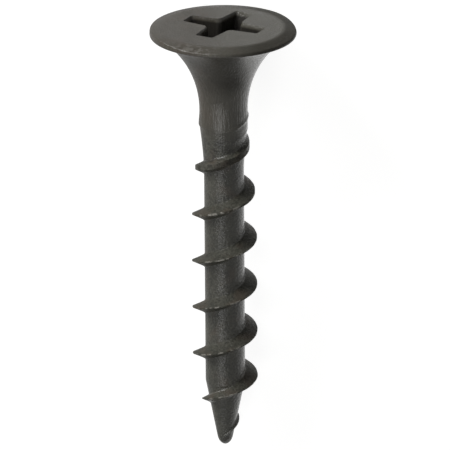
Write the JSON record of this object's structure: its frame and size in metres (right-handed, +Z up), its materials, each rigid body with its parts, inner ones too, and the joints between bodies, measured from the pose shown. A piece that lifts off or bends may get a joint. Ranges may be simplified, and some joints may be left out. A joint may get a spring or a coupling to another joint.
{
  "type": "drywall screw",
  "caption": "Black phosphated drywall screw with a bugle head, a cross recess, a short smooth neck and a coarse right-hand thread that runs down to a blunt rolled point.",
  "frame": {"origin": "under the middle of the screw's box, on the surface it lies on", "axes": "+Z up, +Y towards the head, -Y towards the point, +X to the right of the screw seen from above with its head away; the axis of the screw rises 6.5 degrees towards the head"},
  "size_m": [0.0082, 0.0254, 0.0082],
  "materials": {
    "steel": "satin"
  },
  "bodies": {
    "root": {"drywall_screw": "steel"}
  },
  "joints": []
}
